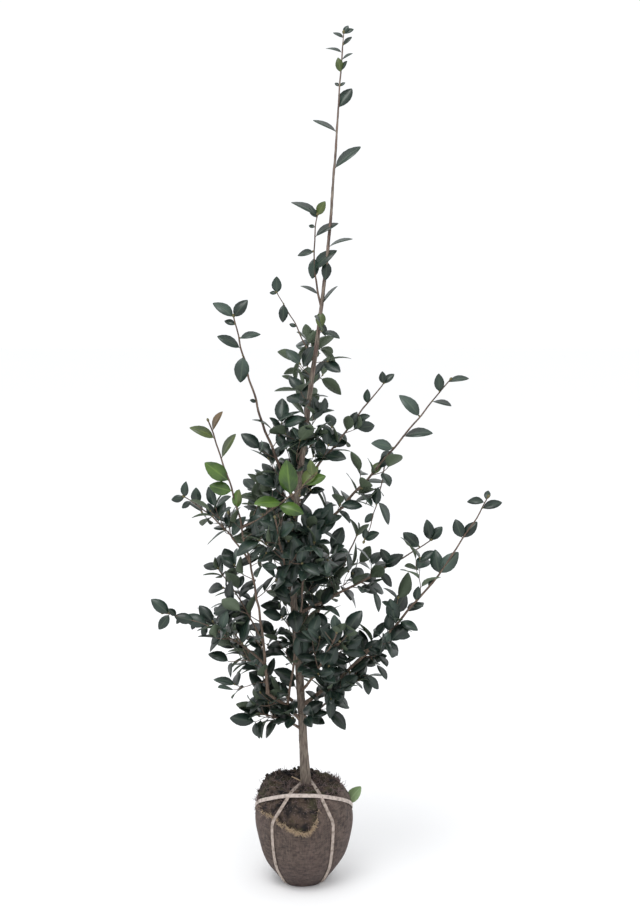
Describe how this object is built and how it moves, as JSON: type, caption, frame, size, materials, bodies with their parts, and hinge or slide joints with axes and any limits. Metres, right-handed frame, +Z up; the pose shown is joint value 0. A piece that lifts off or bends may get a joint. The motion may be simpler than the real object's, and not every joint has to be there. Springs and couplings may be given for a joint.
{
  "type": "camellia shrub with root ball",
  "caption": "Young evergreen shrub with a slender leaning stem, leafy boughs and a tall thin leader, standing on a root ball wrapped in hessian and held by flat rubber bands.",
  "frame": {"origin": "middle of the flat underside of the root ball", "axes": "+Z up along the plant, -Y towards the plant's front, +X to the right of someone who faces that front"},
  "size_m": [0.6794, 0.3781, 1.6919],
  "materials": {
    "leaf": "semi-gloss leathery leaves, dark green",
    "bark": "smooth matte bark, grey tan",
    "young_bark": "smooth matte young bark, red brown",
    "hessian": "coarse woven jute over packed soil, purple brown",
    "soil": "rough damp soil, dark brown",
    "band_rubber": "matte natural rubber, pale tan"
  },
  "bodies": {
    "root": {"root_ball": "hessian", "soil_mound": "soil", "strap_left": "band_rubber", "strap_right": "band_rubber", "belt_band": "band_rubber", "trunk": "bark", "bough_back_high": "young_bark", "bough_back_left_high": "young_bark", "bough_back_left_low": "young_bark", "bough_back_low": "young_bark", "bough_back_right": "young_bark", "bough_front_low": "young_bark", "bough_front_middle": "young_bark", "bough_front_spray": "young_bark", "bough_front_upright": "young_bark", "bough_left_foot": "young_bark", "bough_left_low": "bark", "bough_left_middle": "young_bark", "bough_left_outer_high": "young_bark", "bough_left_outer_low": "young_bark", "bough_left_tall": "young_bark", "bough_left_twig": "young_bark", "bough_left_upper": "young_bark", "bough_right_crest": "young_bark", "bough_right_foot": "young_bark", "bough_right_hanging": "young_bark", "bough_right_lower": "young_bark", "bough_right_middle": "young_bark", "bough_right_upper": "young_bark", "bough_twin_leader": "young_bark", "foliage_back_high": "leaf", "foliage_back_left_high": "leaf", "foliage_back_left_low": "leaf", "foliage_back_low": "leaf", "foliage_back_right": "leaf", "foliage_core_lower": "leaf", "foliage_core_middle": "leaf", "foliage_core_upper": "leaf", "foliage_front_low": "leaf", "foliage_front_middle": "leaf", "foliage_front_spray": "leaf", "foliage_front_upright": "leaf", "foliage_leader_high": "leaf", "foliage_leader_low": "leaf", "foliage_leader_middle": "leaf", "foliage_leader_tip": "leaf", "foliage_left_foot": "leaf", "foliage_left_middle": "leaf", "foliage_left_outer_high": "leaf", "foliage_left_outer_low": "leaf", "foliage_left_tall": "leaf", "foliage_left_twig": "leaf", "foliage_left_upper": "leaf", "foliage_right_crest": "leaf", "foliage_right_foot": "leaf", "foliage_right_hanging": "leaf", "foliage_right_lower": "leaf", "foliage_right_middle": "leaf", "foliage_right_upper": "leaf", "foliage_twin_leader": "leaf"}
  },
  "joints": []
}
